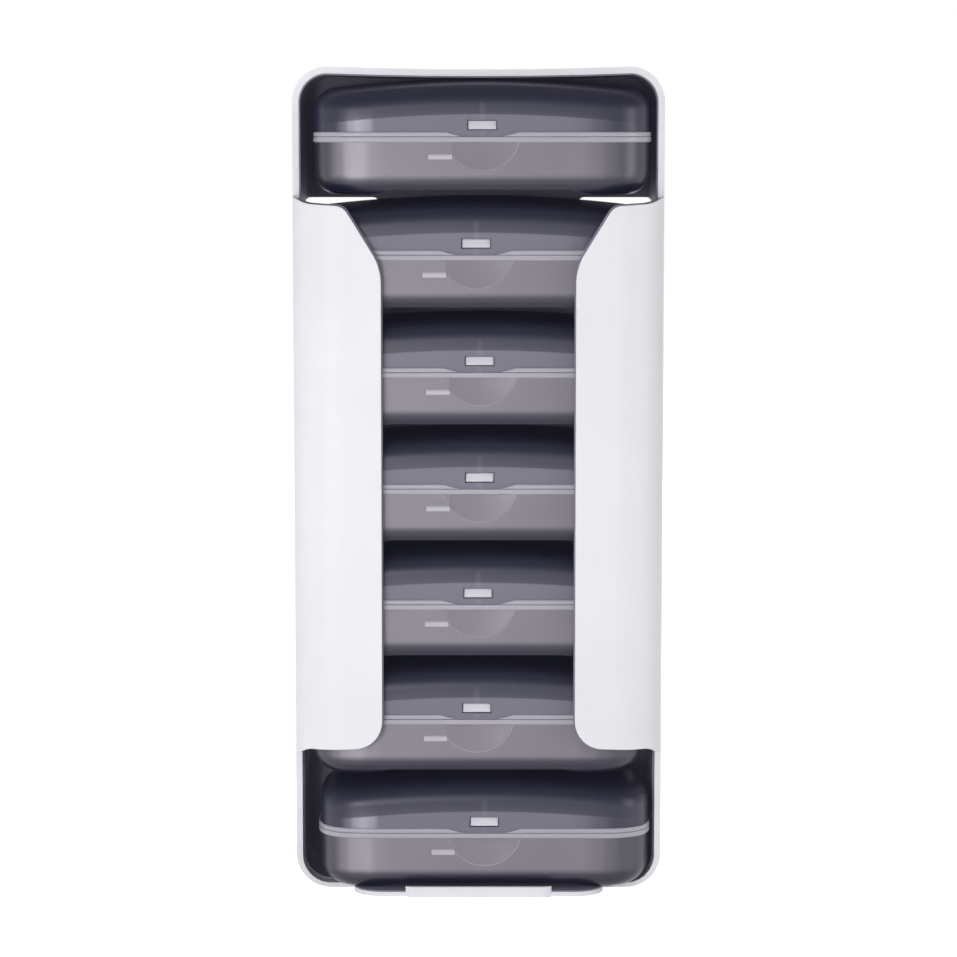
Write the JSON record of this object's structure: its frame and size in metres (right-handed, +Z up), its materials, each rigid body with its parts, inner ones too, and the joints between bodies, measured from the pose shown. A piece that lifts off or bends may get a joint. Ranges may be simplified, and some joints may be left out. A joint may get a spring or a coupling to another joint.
{
  "type": "pill organizer",
  "caption": "Upright pill organizer: crowned two-compartment boxes with hinged lids, stacked in a slim white holder that is open at the top and bottom front.",
  "frame": {"origin": "centre of the holder's footprint, on the surface that it stands on", "axes": "+Z up, -Y out of the open front, +X to the right of someone who faces the front"},
  "size_m": [0.1, 0.0478, 0.2239],
  "materials": {
    "shell": "satin white, moulded",
    "liner": "satin black, moulded",
    "tray": "frosted smoky translucent",
    "lid": "frosted smoky translucent",
    "rod": "drawn wire"
  },
  "bodies": {
    "holder": {"outer_shell": "shell", "inner_liner": "liner"},
    "box_1": {"tray_1": "tray", "lid_1": "lid", "hinge_rod_1": "rod"},
    "box_2": {"tray_2": "tray", "lid_2": "lid", "hinge_rod_2": "rod"},
    "box_3": {"tray_3": "tray", "lid_3": "lid", "hinge_rod_3": "rod"},
    "box_4": {"tray_4": "tray", "lid_4": "lid", "hinge_rod_4": "rod"},
    "box_5": {"tray_5": "tray", "lid_5": "lid", "hinge_rod_5": "rod"},
    "box_6": {"tray_6": "tray", "lid_6": "lid", "hinge_rod_6": "rod"},
    "box_7": {"tray_7": "tray", "lid_7": "lid", "hinge_rod_7": "rod"}
  },
  "joints": [
    {"name": "box_1_slide", "type": "slide", "parent": "holder", "child": "box_1", "axis": [0, -1, 0], "range_m": [0, 0.055]},
    {"name": "box_2_slide", "type": "slide", "parent": "holder", "child": "box_2", "axis": [0, -1, 0], "range_m": [0, 0.00095]},
    {"name": "box_3_slide", "type": "slide", "parent": "holder", "child": "box_3", "axis": [0, -1, 0], "range_m": [0, 0.00095]},
    {"name": "box_4_slide", "type": "slide", "parent": "holder", "child": "box_4", "axis": [0, -1, 0], "range_m": [0, 0.00095]},
    {"name": "box_5_slide", "type": "slide", "parent": "holder", "child": "box_5", "axis": [0, -1, 0], "range_m": [0, 0.00095]},
    {"name": "box_6_slide", "type": "slide", "parent": "holder", "child": "box_6", "axis": [0, -1, 0], "range_m": [0, 0.00095]},
    {"name": "box_7_slide", "type": "slide", "parent": "holder", "child": "box_7", "axis": [0, -1, 0], "range_m": [0, 0.055]}
  ]
}
